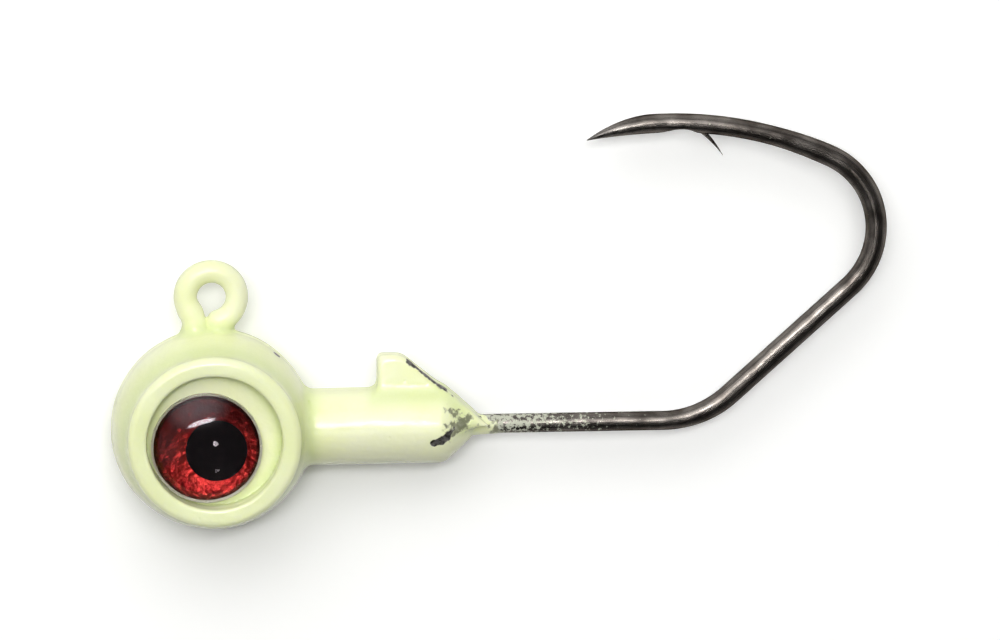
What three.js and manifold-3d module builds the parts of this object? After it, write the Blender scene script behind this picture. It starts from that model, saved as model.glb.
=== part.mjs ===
// Ball-head fishing jig lying on one side, in millimetres, +Z up.
// The hook runs along +X and its point is on the +Y side. The ball's middle plane
// holds the whole hook, and the lower bezel face rests on z = 0.
import * as THREE from 'three';
import { mergeVertices } from 'three/addons/utils/BufferGeometryUtils.js';
import Module from 'manifold-3d';

// ---- driving dimensions: eyes ----
const EYE_R = 3.0;
const EYE_CLEARANCE = 0.65; // coated socket's radius over the eye's
const ADHESIVE_THICK = 0.12;
const ADHESIVE_INSET = 0.25; // glue stays this far inside the eye's edge
const FOIL_THICK = 0.08;
const PUPIL_R = 1.45;
const PUPIL_THICK = 0.04;
const LENS_EDGE = 0.3; // lens height at its rim
const LENS_DOME = 0.68; // extra height at its middle

// ---- driving dimensions: casting, bare lead ----
const BEZEL_LAND = 0.75; // from the socket's wall to the rim of the bezel face
const BEZEL_EDGE_R = 0.4; // rounding of that rim
const BALL_BULGE = 0.8; // ball's radius over the bezel's
const FACE_HALF = 4.0; // middle plane to either bezel face
const SOCKET_DEPTH = 1.35;
const COLLAR_R = 1.95;
const COLLAR_LENGTH = 8.7; // from the ball's skin to the tail
const TAIL_CONE = 1.45; // length of the tail's cone
const TAIL_WALL = 0.1; // lead round the wire at the tail
const KEEPER_RISE = 1.9; // tip above the collar's skin
const KEEPER_FRONT = 4.9; // upright front edge, ahead of the tail
const KEEPER_TIP_LENGTH = 1.4; // blunt tip, along the collar
const KEEPER_TIP_CUT = 0.35; // corners of the tip
const KEEPER_SINK = 0.75; // how deep its foot goes below the collar's skin
const KEEPER_FOOT_HALF = 0.8; // half thickness at the collar's skin
const KEEPER_TIP_HALF = 0.55; // half thickness at the tip

// ---- driving dimensions: hook ----
const WIRE_R = 0.525;
const RING_R = 1.4; // line-tie ring, centre line
const RING_LIFT = 0.55; // from the ball's skin to the ring's centre line
const RING_GAP_ANGLE = -62; // where the ring's free end stops, in degrees
const NECK_TURN = 35; // turn from the ring back into the stem, in degrees
const NECK_R = 1.2;
const STEM_BEND_R = 2.0; // right-angle bend inside the ball
const SHANK_LENGTH = 10.65; // from the casting's tail to the heel
const HEEL_R = 5.5;
const HEEL_TURN = 42;
const LEG_LENGTH = 8.8;
const CROWN_R = 4.4;
const CROWN_TURN = 113;
const SPEAR_R = 20.8;
const SPEAR_TURN = 38;
const POINT_LENGTH = 3.8; // ground length of the point
const POINT_TIP_R = 0.05;
const POINT_SET = 0.7; // share by which the point is ground from its outer side
const BARB_FROM_TIP = 6.5; // along the wire, from the tip to the barb's root
const BARB_LENGTH = 1.3;
const BARB_LIFT = 1.1; // barb's tip above the wire's skin
const BARB_ROOT = 0.7; // length of its root inside the wire
const BARB_THICK = 0.34;
const FORGED_WIDER = 0.12; // the hammered bend is wider in the hook's plane, by this share
const FORGED_THINNER = 0.14; // and thinner across it
const FORGE_RUN = 4.0; // length over which the hammering fades in and out

// ---- driving dimensions: powder coat and fits ----
const COAT = 0.15; // on the casting
const WIRE_COAT = 0.12; // on the wire
const SLEEVE_LENGTH = 2.6; // coat on the shank behind the tail
const SLEEVE_END_COAT = 0.05; // coat where the sleeve runs out
const FIT_GAP = 0.02; // between pieces that touch
const SEAT_GAP = 0.03; // round the pupil, in the back of the lens

// Where each eye stopped in its socket, as shares of the clearance, and where its
// pupil lies, as shares of the eye's radius
const EYES = [
  { side: 'left', up: 1, drift: [-0.64, -0.64], pupil: [0.17, -0.04] },
  { side: 'right', up: -1, drift: [0.35, 0.45], pupil: [-0.12, 0.13] },
];

const FACETS = 40; // round the eye axis
const COLLAR_FACETS = 28;
const PUPIL_FACETS = 32;
const WIRE_SIDES = 12;
const BEND_STEP = 10; // degrees of bend for each step along the wire
const POINT_STEPS = 5;
const BALL_STEPS = 5;
const EDGE_STEPS = 3;
const LENS_STEPS = 8;

const LOOKS = {
  coat: { color: 0xeefcc0, roughness: 0.3, metalness: 0 },
  lead: { color: 0x8c8f94, roughness: 0.55, metalness: 1 },
  hook: { color: 0x4a423c, roughness: 0.25, metalness: 1 },
  adhesive: { color: 0xe8e4d0, roughness: 0.6, metalness: 0 },
  foil: { color: 0xa01420, roughness: 0.3, metalness: 0.9 },
  pupil: { color: 0x0c0a0c, roughness: 0.4, metalness: 0 },
  lens: { color: 0xf4f4f4, roughness: 0.05, metalness: 0, transparent: true, opacity: 0.35 },
};

// ---- places that follow from the dimensions ----
const socketR = EYE_R + EYE_CLEARANCE + COAT;
const bezelR = socketR + BEZEL_LAND;
const ballR = bezelR + BALL_BULGE;
const tailX = ballR + COLLAR_LENGTH;
const coneX = tailX - TAIL_CONE;
const ringY = ballR + RING_LIFT + RING_R;

// ---- shapes ----
const MERGE = 1e-5; // points nearer than this are one point
const radians = THREE.MathUtils.degToRad;
const toVectors = (pairs) => pairs.map(([x, y]) => new THREE.Vector2(x, y));

const wasm = await Module();
wasm.setup();

function welded(geometry) {
  return mergeVertices(geometry.clone().deleteAttribute('normal').deleteAttribute('uv'), MERGE);
}

function toSolid(geometry) {
  const mesh = welded(geometry);
  return new wasm.Manifold(new wasm.Mesh({
    numProp: 3,
    vertProperties: new Float32Array(mesh.attributes.position.array),
    triVerts: new Uint32Array(mesh.index.array),
  }));
}

function toGeometry(solid) {
  const mesh = solid.getMesh();
  const geometry = new THREE.BufferGeometry();
  geometry.setAttribute('position', new THREE.BufferAttribute(mesh.vertProperties, 3));
  geometry.setIndex(new THREE.BufferAttribute(mesh.triVerts, 1));
  geometry.computeVertexNormals();
  return geometry;
}

// Points of an arc, from one angle to another in degrees
function arc([x, y], r, from, to, steps) {
  return Array.from({ length: steps + 1 }, (_, i) => {
    const angle = radians(from + ((to - from) * i) / steps);
    return [x + r * Math.cos(angle), y + r * Math.sin(angle)];
  });
}

// A profile of [radius, height] points, from the bottom up, turned round Z
function turned(profile, facets = FACETS) {
  return new THREE.LatheGeometry(toVectors(profile), facets).rotateX(Math.PI / 2);
}

function disc(radius, thick, facets = FACETS) {
  return turned([[0, 0], [radius, 0], [radius, thick], [0, thick]], facets);
}

// A convex outline, counter-clockwise, with each edge moved out by `grow`
function grown(outline, grow) {
  const edges = outline.map(([x, y], i) => {
    const [nextX, nextY] = outline[(i + 1) % outline.length];
    const length = Math.hypot(nextX - x, nextY - y);
    const normal = [(nextY - y) / length, (x - nextX) / length];
    return { normal, reach: normal[0] * x + normal[1] * y + grow };
  });
  return edges.map((edge, i) => {
    const before = edges.at(i - 1);
    const cross = before.normal[0] * edge.normal[1] - before.normal[1] * edge.normal[0];
    return [
      (before.reach * edge.normal[1] - edge.reach * before.normal[1]) / cross,
      (edge.reach * before.normal[0] - before.reach * edge.normal[0]) / cross,
    ];
  });
}

// ---- casting ----
// `grow` moves every surface out, so that one shape makes the casting, the outside
// of its coat and the inside of its coat.
function ballSolid(grow) {
  const r = ballR + grow;
  const rim = bezelR + grow;
  const face = FACE_HALF + grow;
  const wallFoot = THREE.MathUtils.radToDeg(Math.acos(rim / r));
  const upper = [
    [0, face],
    ...arc([rim - BEZEL_EDGE_R, face - BEZEL_EDGE_R], BEZEL_EDGE_R, 90, 0, EDGE_STEPS),
    ...arc([0, 0], r, wallFoot, 0, BALL_STEPS),
  ];
  const lower = upper.slice(0, -1).map(([x, z]) => [x, -z]);
  return toSolid(turned([...lower, ...upper.reverse()]));
}

function collarSolid(grow) {
  const slant = Math.atan2(COLLAR_R - WIRE_R - TAIL_WALL, TAIL_CONE);
  const r = COLLAR_R + grow;
  const shoulder = coneX + grow * Math.tan(slant / 2);
  const tail = tailX + grow;
  const tailR = r - (tail - shoulder) * Math.tan(slant);
  const profile = [[0, 0], [r, 0], [r, shoulder], [tailR, tail], [0, tail]];
  return toSolid(turned(profile, COLLAR_FACETS).rotateY(Math.PI / 2));
}

// The keeper's rear edge runs from its blunt tip down to the start of the tail's cone
function keeperSolid(grow) {
  const front = tailX - KEEPER_FRONT;
  const rear = front + KEEPER_TIP_LENGTH;
  const foot = COLLAR_R - KEEPER_SINK;
  const top = COLLAR_R + KEEPER_RISE;
  const outline = grown([
    [front, foot],
    [coneX, foot],
    [coneX, COLLAR_R - FIT_GAP],
    [rear + KEEPER_TIP_CUT / 2, top - KEEPER_TIP_CUT],
    [rear - KEEPER_TIP_CUT / 2, top],
    [front + KEEPER_TIP_CUT, top],
    [front, top - KEEPER_TIP_CUT],
  ], grow);
  const shape = new THREE.Shape(toVectors(outline));
  const slab = new THREE.ExtrudeGeometry(shape, { depth: 1, bevelEnabled: false });
  const position = slab.attributes.position;
  for (let i = 0; i < position.count; i += 1) {
    const share = (position.getY(i) - COLLAR_R) / KEEPER_RISE;
    const half = THREE.MathUtils.lerp(KEEPER_FOOT_HALF, KEEPER_TIP_HALF, share) + grow;
    position.setZ(i, position.getZ(i) > 0 ? half : -half);
  }
  return toSolid(slab);
}

function headSolid(grow) {
  let head = ballSolid(grow).add(collarSolid(grow)).add(keeperSolid(grow));
  for (const { up } of EYES) {
    const socket = disc(socketR - grow, FACE_HALF).translate(0, 0, FACE_HALF - SOCKET_DEPTH + grow);
    if (up < 0) socket.rotateX(Math.PI);
    head = head.subtract(toSolid(socket));
  }
  return head;
}

// ---- hook: a straight wire with a ground point, then bent ----
const neckAngle = 180 + NECK_TURN;
const [ringStartX, ringStartY] = arc([0, ringY], RING_R, RING_GAP_ANGLE, RING_GAP_ANGLE, 1)[0];
const [neckX, neckY] = arc([0, ringY], RING_R, neckAngle, neckAngle, 1)[0];
const stemX = neckX + NECK_R * (1 - Math.cos(radians(NECK_TURN)));
const stemTop = neckY - NECK_R * Math.sin(radians(NECK_TURN));
const shankX = stemX + STEM_BEND_R;

const BENDS = [
  { name: 'ring', r: RING_R, turn: neckAngle - RING_GAP_ANGLE },
  { name: 'neck', r: NECK_R, turn: -NECK_TURN },
  { name: 'stem', length: stemTop - STEM_BEND_R },
  { name: 'stem_bend', r: STEM_BEND_R, turn: 90 },
  { name: 'shank', length: tailX + SHANK_LENGTH - shankX },
  { name: 'heel', r: HEEL_R, turn: HEEL_TURN },
  { name: 'leg', length: LEG_LENGTH },
  { name: 'crown', r: CROWN_R, turn: CROWN_TURN },
  { name: 'spear', r: SPEAR_R, turn: SPEAR_TURN },
];

// The point and heading at some way along a stretch of the wire's centre line
function pointOn({ x, y, heading, curve }, along) {
  const turn = heading + curve * along;
  if (!curve) {
    return { x: x + Math.cos(heading) * along, y: y + Math.sin(heading) * along, heading };
  }
  return {
    x: x + (Math.sin(turn) - Math.sin(heading)) / curve,
    y: y - (Math.cos(turn) - Math.cos(heading)) / curve,
    heading: turn,
  };
}

function layOut() {
  let start = { x: ringStartX, y: ringStartY, heading: radians(RING_GAP_ANGLE + 90) };
  let s = 0;
  return BENDS.map(({ name, r, turn = 0, length = r * radians(Math.abs(turn)) }) => {
    const stretch = { ...start, name, turn, length, s, curve: radians(turn) / length };
    start = pointOn(stretch, length);
    s += length;
    return stretch;
  });
}

const stretches = layOut();
const startOf = (name) => stretches.find((stretch) => stretch.name === name).s;
const wireLength = startOf('spear') + stretches.at(-1).length;
const tailStation = startOf('shank') + tailX + COAT - shankX;

// Bends a straight piece, whose +Y runs along the wire and whose +X is the left of
// that direction, to the hook's shape. Side, along and up are a left-handed set, so
// the piece comes out mirrored and its triangles are turned round again.
function bent(straight) {
  const geometry = welded(straight);
  const position = geometry.attributes.position;
  for (let i = 0; i < position.count; i += 1) {
    const side = position.getX(i);
    const s = position.getY(i);
    const stretch = stretches.findLast((item) => item.s <= s) ?? stretches[0];
    const { x, y, heading } = pointOn(stretch, s - stretch.s);
    position.setX(i, x - Math.sin(heading) * side);
    position.setY(i, y + Math.cos(heading) * side);
  }
  const index = geometry.index.array;
  for (let i = 0; i < index.length; i += 3) [index[i], index[i + 1]] = [index[i + 1], index[i]];
  return geometry;
}

function wireRadius(s) {
  const share = THREE.MathUtils.clamp((wireLength - s) / POINT_LENGTH, 0, 1);
  return THREE.MathUtils.lerp(POINT_TIP_R, WIRE_R, Math.sqrt(share));
}

// Hammers the leg and the crown flatter, and sets the point to its inner side
function forged(straight) {
  const position = straight.attributes.position;
  for (let i = 0; i < position.count; i += 1) {
    const s = position.getY(i);
    const outside = Math.max(startOf('leg') - s, s - startOf('spear'), 0) / FORGE_RUN;
    const hammered = Math.max(0, 1 - outside);
    const set = POINT_SET * (WIRE_R - wireRadius(s));
    position.setX(i, position.getX(i) * (1 + FORGED_WIDER * hammered) + set);
    position.setZ(i, position.getZ(i) * (1 - FORGED_THINNER * hammered));
  }
  return straight;
}

// Stations along the wire, close together in the bends
function stationsBetween(from, to, extra = []) {
  const inBends = stretches.flatMap(({ s, length, turn }) => {
    const steps = Math.max(1, Math.ceil(Math.abs(turn) / BEND_STEP));
    return Array.from({ length: steps }, (_, i) => s + (length * i) / steps);
  });
  const between = [...inBends, ...extra].filter((s) => s > from + WIRE_COAT && s < to - POINT_TIP_R);
  return [from, ...between.sort((a, b) => a - b), to];
}

function bentBar(stations, radiusAt) {
  const profile = [[0, stations[0]], ...stations.map((s) => [radiusAt(s), s]), [0, stations.at(-1)]];
  return toSolid(bent(forged(new THREE.LatheGeometry(toVectors(profile), WIRE_SIDES))));
}

// The barb is a sliver raised from the wire's inner side, leaning back from the point
function barbSolid() {
  const root = wireLength - BARB_FROM_TIP;
  const outline = new THREE.Shape(toVectors([
    [WIRE_R / 2, root - BARB_ROOT / 2],
    [WIRE_R + BARB_LIFT, root - BARB_LENGTH],
    [WIRE_R / 2, root + BARB_ROOT / 2],
  ]));
  const sliver = new THREE.ExtrudeGeometry(outline, { depth: BARB_THICK, bevelEnabled: false });
  return toSolid(bent(sliver.translate(0, 0, -BARB_THICK / 2)));
}

function hookSolid() {
  const onPoint = Array.from({ length: POINT_STEPS }, (_, i) => (
    wireLength - POINT_LENGTH * ((i + 1) / POINT_STEPS) ** 2
  ));
  return bentBar(stationsBetween(0, wireLength, onPoint), wireRadius).add(barbSolid());
}

// The room that the hook takes in the casting and in the coat, up to `end` on the wire
function hookRoom(end) {
  return bentBar(stationsBetween(-FIT_GAP, end), () => WIRE_R + FIT_GAP);
}

// ---- powder coat: one film over the casting, the line-tie ring and the first of the shank ----
function coatSolid() {
  const end = tailStation + SLEEVE_LENGTH;
  const filmOn = (s) => {
    const run = Math.max(0, (s - tailStation) / SLEEVE_LENGTH);
    return WIRE_R + THREE.MathUtils.lerp(WIRE_COAT, SLEEVE_END_COAT, run);
  };
  const onWire = bentBar(stationsBetween(-WIRE_COAT, end, [tailStation]), filmOn);
  const outside = headSolid(COAT).add(onWire);
  return outside.subtract(headSolid(FIT_GAP)).subtract(hookRoom(end + COAT));
}

// ---- eyes ----
// The clear lens, with a shallow seat in its back for the pupil
function lensGeometry([pupilX, pupilY]) {
  const domeR = (EYE_R ** 2 + LENS_DOME ** 2) / (2 * LENS_DOME);
  const rim = THREE.MathUtils.radToDeg(Math.acos(EYE_R / domeR));
  const top = LENS_EDGE + LENS_DOME;
  const dome = arc([0, top - domeR], domeR, rim, 90, LENS_STEPS).slice(0, -1);
  const lens = toSolid(turned([[0, 0], [EYE_R, 0], ...dome, [0, top]]));
  const seatDepth = PUPIL_THICK + FIT_GAP;
  const seat = disc(PUPIL_R + SEAT_GAP, 2 * seatDepth, PUPIL_FACETS);
  return toGeometry(lens.subtract(toSolid(seat.translate(pupilX, pupilY, -seatDepth))));
}

// ---- assembly ----
const jig = new THREE.Group();

function addPiece(name, geometry, look, parent = jig) {
  const mesh = new THREE.Mesh(geometry, new THREE.MeshStandardMaterial(LOOKS[look]));
  mesh.name = name;
  parent.add(mesh);
}

function addEye({ side, up, drift, pupil }) {
  const eye = new THREE.Group();
  const spot = pupil.map((share) => share * EYE_R);
  const onGlue = FACE_HALF - SOCKET_DEPTH + COAT + FIT_GAP;
  const onFoil = onGlue + ADHESIVE_THICK + FIT_GAP;
  const onTop = onFoil + FOIL_THICK + FIT_GAP;
  const glue = disc(EYE_R - ADHESIVE_INSET, ADHESIVE_THICK).translate(0, 0, onGlue);
  addPiece(`${side}_eye_adhesive`, glue, 'adhesive', eye);
  addPiece(`${side}_iris_foil`, disc(EYE_R, FOIL_THICK).translate(0, 0, onFoil), 'foil', eye);
  const black = disc(PUPIL_R, PUPIL_THICK, PUPIL_FACETS).translate(...spot, onTop);
  addPiece(`${side}_pupil`, black, 'pupil', eye);
  addPiece(`${side}_eye_lens`, lensGeometry(spot).translate(0, 0, onTop), 'lens', eye);
  if (up < 0) eye.rotation.x = Math.PI;
  eye.position.set(drift[0] * EYE_CLEARANCE, drift[1] * EYE_CLEARANCE, 0);
  jig.add(eye);
}

addPiece('jig_hook', toGeometry(hookSolid()), 'hook');
addPiece('lead_head', toGeometry(headSolid(0).subtract(hookRoom(tailStation + COAT))), 'lead');
addPiece('powder_coat', toGeometry(coatSolid()), 'coat');
EYES.forEach(addEye);

// Lay the jig on its lower bezel face, with the middle of its box over the origin
const box = new THREE.Box3().setFromObject(jig);
const middle = box.getCenter(new THREE.Vector3());
jig.position.set(-middle.x, -middle.y, -box.min.z);

export default jig;
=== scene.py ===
import bmesh
import bpy
import math
import numpy as np
from mathutils import Matrix, Vector


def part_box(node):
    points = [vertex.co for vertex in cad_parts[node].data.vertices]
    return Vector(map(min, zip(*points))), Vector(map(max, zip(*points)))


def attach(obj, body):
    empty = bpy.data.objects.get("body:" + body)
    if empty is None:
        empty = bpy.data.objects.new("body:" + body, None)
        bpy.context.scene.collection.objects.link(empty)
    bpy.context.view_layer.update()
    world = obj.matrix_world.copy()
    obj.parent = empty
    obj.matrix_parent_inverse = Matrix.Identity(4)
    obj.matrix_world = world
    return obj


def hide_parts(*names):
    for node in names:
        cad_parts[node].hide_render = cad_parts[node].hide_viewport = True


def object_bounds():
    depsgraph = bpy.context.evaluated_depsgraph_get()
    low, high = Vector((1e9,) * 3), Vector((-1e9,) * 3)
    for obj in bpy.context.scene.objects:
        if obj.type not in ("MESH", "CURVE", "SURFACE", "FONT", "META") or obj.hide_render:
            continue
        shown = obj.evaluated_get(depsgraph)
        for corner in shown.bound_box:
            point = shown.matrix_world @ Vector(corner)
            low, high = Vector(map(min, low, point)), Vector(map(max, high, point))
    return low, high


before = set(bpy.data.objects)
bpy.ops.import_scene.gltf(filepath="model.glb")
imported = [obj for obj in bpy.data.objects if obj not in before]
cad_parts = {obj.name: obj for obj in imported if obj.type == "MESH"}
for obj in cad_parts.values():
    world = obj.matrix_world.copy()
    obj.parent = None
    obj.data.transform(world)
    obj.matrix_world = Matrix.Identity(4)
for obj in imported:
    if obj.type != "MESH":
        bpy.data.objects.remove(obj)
cad_low, cad_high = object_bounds()
scene = bpy.context.scene

# ---- The hook ------------------------------------------------------------------
# One length of hard-drawn steel wire. It is ground to a point and barbed while it
# is straight, bent round pegs to the ring, the shank and the sickle bend, hammered
# flatter where the bend takes the load, and plated with black nickel.

# The jig is laid out in millimetres from the middle of its ball: the shank runs
# along +X, the line-tie and the point are on the +Y side, and +Z is the left cheek.
BALL_R = 5.5
coat_low, coat_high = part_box("powder_coat")
ball_middle = np.array([coat_low.x * 1000 + BALL_R, coat_low.y * 1000 + BALL_R,
                        (coat_low.z + coat_high.z) * 500])


def in_place(points):
    """Points in millimetres on the jig, as places in metres."""
    return (np.asarray(points, float) + ball_middle) / 1000


WIRE_R = 0.525
RING_R = 1.4
NECK_R, NECK_TURN = 1.2, 35
STEM_X = -0.930  # the stem runs down from the neck into the ball
STEM_TOP, STEM_FOOT, STEM_BEND_R = 5.809, 2.0, 2.0
SHANK_X = STEM_X + STEM_BEND_R
TAIL_X = 14.20  # the casting's tail, where the wire comes out
RING_START = (0.6573, 6.0639)
RING_HEADING = 28
WIRE_BENDS = (  # each peg's radius and turn in degrees, or a straight length
    ("ring", RING_R, 277), ("neck", NECK_R, -NECK_TURN), ("stem", STEM_TOP - STEM_FOOT, 0),
    ("stem bend", STEM_BEND_R, 90),
    ("shank", 23.63, 0), ("heel", 5.5, 42), ("leg", 8.8, 0), ("crown", 4.4, 113),
    ("spear", 20.8, 38),
)
WIRE_STEP, WIRE_SIDES = 0.2, 28
POINT_LENGTH, POINT_TIP_R, POINT_SET, POINT_SWELL = 3.6, 0.02, 0.75, 1.7
POINT_FINE = 1.2  # the wire's last stretch has closer rings
FORGED_WIDER, FORGED_THINNER, FORGE_RUN = 0.12, 0.14, 4.0

starts = {}
rows = []
x, y, heading, station = *RING_START, math.radians(RING_HEADING), 0.0
for name, size, turn in WIRE_BENDS:
    starts[name] = station
    length = size * math.radians(abs(turn)) if turn else size
    curve = math.radians(turn) / length
    steps = math.ceil(length / WIRE_STEP)
    for along in np.linspace(0, length, steps + 1)[:-1]:
        angle = heading + curve * along
        if turn:
            rows.append((station + along, x + (math.sin(angle) - math.sin(heading)) / curve,
                         y - (math.cos(angle) - math.cos(heading)) / curve, angle))
        else:
            rows.append((station + along, x + math.cos(heading) * along,
                         y + math.sin(heading) * along, angle))
    last = heading + curve * length
    if turn:
        x += (math.sin(last) - math.sin(heading)) / curve
        y -= (math.cos(last) - math.cos(heading)) / curve
    else:
        x, y = x + math.cos(heading) * length, y + math.sin(heading) * length
    heading, station = last, station + length
rows.append((station, x, y, heading))
wire_length = station
rows = np.array(rows)
fine = np.linspace(wire_length - POINT_FINE, wire_length, 25)
stations = np.unique(np.concatenate([rows[:, 0], fine]))
wire_x, wire_y, wire_heading = (np.interp(stations, rows[:, 0], rows[:, i]) for i in (1, 2, 3))


def wire_girth(s):
    """The wire's half width, which falls away along the ground point."""
    share = np.clip((wire_length - s) / POINT_LENGTH, 0, 1)
    return POINT_TIP_R + (WIRE_R - POINT_TIP_R) * (1 - (1 - share) ** POINT_SWELL)


def on_wire(s, side, up):
    """Where a point beside the wire's middle line comes to lie on the bent hook."""
    angle = np.interp(s, stations, wire_heading)
    return np.stack([np.interp(s, stations, wire_x) - np.sin(angle) * side,
                     np.interp(s, stations, wire_y) + np.cos(angle) * side,
                     up + np.zeros_like(angle)], axis=-1)


girth = wire_girth(stations)
outside = np.maximum(starts["leg"] - stations, stations - starts["spear"])
hammered = np.clip(1 - np.maximum(outside, 0) / FORGE_RUN, 0, 1)
hammered = hammered * hammered * (3 - 2 * hammered)

# The chisel that raises the barb leaves a shallow scoop on the point's side of it
BARB_FROM_TIP = 6.5
SCOOP_GAP, SCOOP_LENGTH, SCOOP_DEPTH = 0.2, 2.4, 0.24
barb_root = wire_length - BARB_FROM_TIP
scoop_share = np.clip((stations - barb_root - SCOOP_GAP) / SCOOP_LENGTH, 0, 1)
scoop = SCOOP_DEPTH * np.sin(np.pi * scoop_share ** 0.75) ** 1.6

wire_line = bpy.data.meshes.new("hook wire")
middles = in_place(np.stack([wire_x, wire_y, np.zeros_like(wire_x)], axis=1))
wire_line.from_pydata(middles.tolist(), [(i, i + 1) for i in range(len(middles) - 1)], [])
for label, values in (
    ("girth", girth), ("wide", 1 + FORGED_WIDER * hammered),
    ("thick", 1 - FORGED_THINNER * hammered), ("set over", POINT_SET * (WIRE_R - girth)),
    ("inner skin", girth - scoop), ("along", stations),
):
    wire_line.attributes.new(label, "FLOAT", "POINT").data.foreach_set("value", values)
leftward = np.stack([-np.sin(wire_heading), np.cos(wire_heading), 0 * wire_heading], axis=1)
wire_line.attributes.new("leftward", "FLOAT_VECTOR", "POINT").data.foreach_set(
    "vector", leftward.ravel())
hook = bpy.data.objects.new("black_nickel_hook", wire_line)
scene.collection.objects.link(hook)

tail_station = starts["shank"] + TAIL_X - SHANK_X


def put(tree, kind, inputs=None, **settings):
    """A new node, whose inputs are plain values or the sockets that feed them."""
    made = tree.nodes.new(kind)
    for key, value in settings.items():
        setattr(made, key, value)
    for key, value in (inputs or {}).items():
        if isinstance(value, bpy.types.NodeSocket):
            tree.links.new(value, made.inputs[key])
        else:
            made.inputs[key].default_value = value
    return made


def maths(tree, operation, *values, clamp=False):
    return put(tree, "ShaderNodeMath", dict(enumerate(values)), operation=operation,
               use_clamp=clamp).outputs[0]


def vectors(tree, operation, *values):
    made = put(tree, "ShaderNodeVectorMath", dict(enumerate(values)), operation=operation)
    return made.outputs["Value"] if operation == "DOT_PRODUCT" else made.outputs["Vector"]


def new_finish(name):
    """A new material, with its node tree and its shader."""
    material = bpy.data.materials.new(name)
    material.use_nodes = True
    return material, material.node_tree, material.node_tree.nodes["Principled BSDF"]


def noise(tree, where, scale, detail, roughness=0.5):
    return put(tree, "ShaderNodeTexNoise", {"Vector": where, "Scale": scale, "Detail": detail,
                                            "Roughness": roughness}).outputs["Fac"]


def ranged(tree, value, low, high, to_low=0.0, to_high=1.0, eased=False):
    """A value carried from one range to another, and held at its ends."""
    return put(tree, "ShaderNodeMapRange", {
        "Value": value, "From Min": low, "From Max": high, "To Min": to_low, "To Max": to_high},
        interpolation_type="SMOOTHSTEP" if eased else "LINEAR").outputs[0]


def colour(value):
    return value if isinstance(value, bpy.types.NodeSocket) else (*value, 1)


def mixed(tree, share, first, second):
    """A colour between two; a Mix node's colour sockets are its inputs 6 and 7."""
    return put(tree, "ShaderNodeMix", {"Factor": share, 6: colour(first), 7: colour(second)},
               data_type="RGBA").outputs[2]


def ramp(tree, value, first, second, start=0.0, end=1.0):
    """A colour that runs from one tone to another as a value goes from start to end."""
    made = put(tree, "ShaderNodeValToRGB", {"Fac": value})
    for element, at, tone in zip(made.color_ramp.elements, (start, end), (first, second)):
        element.position = at
        element.color = colour(tone)
    return made.outputs[0]


def bumped(tree, height, strength, distance, under=None):
    """A surface direction that follows a height, laid over another such relief."""
    inputs = {"Height": height, "Strength": strength, "Distance": distance}
    if under:
        inputs["Normal"] = under
    return put(tree, "ShaderNodeBump", inputs).outputs[0]


def attribute(tree, label, kind="Fac"):
    return put(tree, "ShaderNodeAttribute", attribute_name=label).outputs[kind]


def object_place(tree):
    return put(tree, "ShaderNodeTexCoord").outputs["Object"]


def feed(tree, shader, **sockets):
    """Links sockets to a shader's inputs, whose names have _ for each space."""
    for label, socket in sockets.items():
        tree.links.new(socket, shader.inputs[label.replace("_", " ")])


def black_nickel():
    """Thin dark plating over drawn wire: smoky brown-grey, with fine lines along it."""
    material, tree, shader = new_finish("black_nickel_plated_steel")
    lay = attribute(tree, "lay", "Vector")
    lines = noise(tree, vectors(tree, "MULTIPLY", lay, (0.22, 9.0, 9.0)), 1.6, 5, 0.65)
    grain = noise(tree, lay, 7.0, 4)
    tone = ramp(tree, noise(tree, lay, 0.8, 3), (0.052, 0.043, 0.037), (0.190, 0.172, 0.156),
                0.32, 0.68)
    streaked = mixed(tree, maths(tree, "MULTIPLY", lines, 0.35), tone, (0.16, 0.145, 0.132))
    # Grinding after plating leaves the point brighter, with lines across it
    parted = put(tree, "ShaderNodeSeparateXYZ", {0: lay}).outputs
    along = parted["X"]
    ground = ranged(tree, along, wire_length - 3.4, wire_length - 0.4, 0.0, 0.55)
    across = noise(tree, vectors(tree, "MULTIPLY", lay, (14.0, 1.5, 1.5)), 1.5, 3)
    bright = maths(tree, "MULTIPLY", ground, across)
    plated = mixed(tree, bright, streaked, (0.34, 0.33, 0.32))
    # Loose powder caught behind the tail was baked on as pale specks. They are set denser on the
    # shank's top and window side, a painted highlight where the light falls.
    dust = noise(tree, lay, 4.6, 5, 0.7)
    needed = ranged(tree, maths(tree, "SUBTRACT", along, tail_station), 0.0, 11.0, 0.44, 0.71)
    # Painted highlight: more pale specks where the wire faces up and toward the window
    facing = maths(tree, "ADD", parted["Y"], parted["Z"])
    needed = maths(tree, "SUBTRACT", needed, maths(tree, "MULTIPLY", facing, 0.055))
    specks_and_painted_highlight = ranged(tree, maths(tree, "SUBTRACT", dust, needed), 0.0, 0.03)
    specked_colour_with_highlight = mixed(tree, maths(tree, "MULTIPLY", specks_and_painted_highlight, 0.85), plated, (0.60, 0.62, 0.50))
    relief = maths(tree, "ADD", maths(tree, "MULTIPLY", lines, 0.7),
                   maths(tree, "MULTIPLY", grain, 0.5))
    drawn = bumped(tree, relief, 0.35, 0.00002)
    # The pegs and the hammer leave the wire a little uneven
    uneven = bumped(tree, noise(tree, lay, 0.7, 1), 1.0, 0.00010, under=drawn)
    feed(tree, shader, Base_Color=specked_colour_with_highlight, Metallic=maths(tree, "SUBTRACT", 1.0, specks_and_painted_highlight),
         Roughness=ranged(tree, lines, 0.3, 0.7, 0.20, 0.34), Normal=uneven)
    shader.inputs["Specular Tint"].default_value = (0.14, 0.12, 0.11, 1)
    return material


nickel = black_nickel()

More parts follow.
